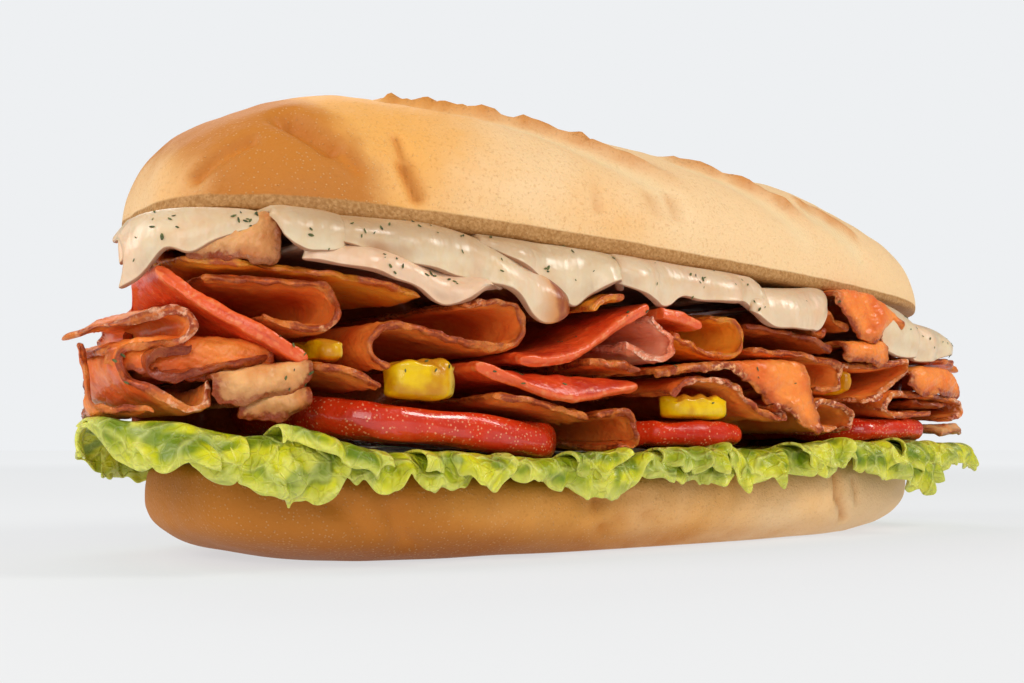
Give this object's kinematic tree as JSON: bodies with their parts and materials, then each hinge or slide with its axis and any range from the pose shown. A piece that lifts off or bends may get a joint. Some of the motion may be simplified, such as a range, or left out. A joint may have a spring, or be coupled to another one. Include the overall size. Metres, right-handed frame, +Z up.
{
  "type": "submarine sandwich",
  "caption": "Long soft roll cut in two and filled with folded roast slices, cured sausage, melted cheese, pepper, tomato and lettuce.",
  "frame": {"origin": "on the flat underside of the lower half of the roll, at the middle of the roll's length and width", "axes": "+X along the roll, -Y towards the long side that shows the filling in the picture, +Z up"},
  "size_m": [0.2313, 0.0942, 0.0915],
  "materials": {
    "crust": "baked soft crust, matt with a faint sheen",
    "lettuce": "fresh leaf, slightly wet",
    "tomato": "wet cut tomato with a glossy skin",
    "pepper": "waxy and glossy",
    "salami": "oily cured sausage",
    "turkey": "moist roast slice with a browned rind",
    "cheese": "melted, slightly see-through"
  },
  "bodies": {
    "root": {"bun_bottom": "crust", "bun_top": "crust", "lettuce_leaf_1": "lettuce", "lettuce_leaf_2": "lettuce", "lettuce_leaf_3": "lettuce", "lettuce_leaf_4": "lettuce", "lettuce_leaf_5": "lettuce", "lettuce_leaf_6": "lettuce", "lettuce_leaf_7": "lettuce", "lettuce_leaf_8": "lettuce", "tomato_slice_1": "tomato", "tomato_slice_2": "tomato", "tomato_slice_3": "tomato", "pepper_left": "pepper", "pepper_wide": "pepper", "pepper_arched": "pepper", "pepper_right": "pepper", "salami_slope": "salami", "salami_short": "salami", "salami_rise": "salami", "salami_bowl": "salami", "ham_fan": "turkey", "turkey_tip_fold": "turkey", "turkey_end_flap": "turkey", "turkey_dark_edge": "turkey", "turkey_flat_roll": "turkey", "turkey_low_slice": "turkey", "turkey_wide_bend": "turkey", "turkey_gold_strip": "turkey", "turkey_long_fold": "turkey", "turkey_side_strip": "turkey", "turkey_thin_strip": "turkey", "turkey_low_hook": "turkey", "turkey_short_strip": "turkey", "turkey_amber_bump": "turkey", "turkey_arch": "turkey", "turkey_amber_loop": "turkey", "turkey_stack_upper": "turkey", "turkey_stack_lower": "turkey", "turkey_tube": "turkey", "turkey_open_fold": "turkey", "turkey_low_roll": "turkey", "turkey_curl": "turkey", "turkey_roll_edge": "turkey", "turkey_front_flap": "turkey", "turkey_big_flap": "turkey", "turkey_dark_flap": "turkey", "turkey_right_flap": "turkey", "turkey_right_upper": "turkey", "turkey_right_middle": "turkey", "turkey_right_lower": "turkey", "cheese_left": "cheese", "cheese_roll": "cheese", "cheese_slab": "cheese", "cheese_pink": "cheese", "cheese_drape": "cheese", "cheese_wave": "cheese", "cheese_streak": "cheese", "cheese_right": "cheese", "cheese_round": "cheese"}
  },
  "joints": []
}
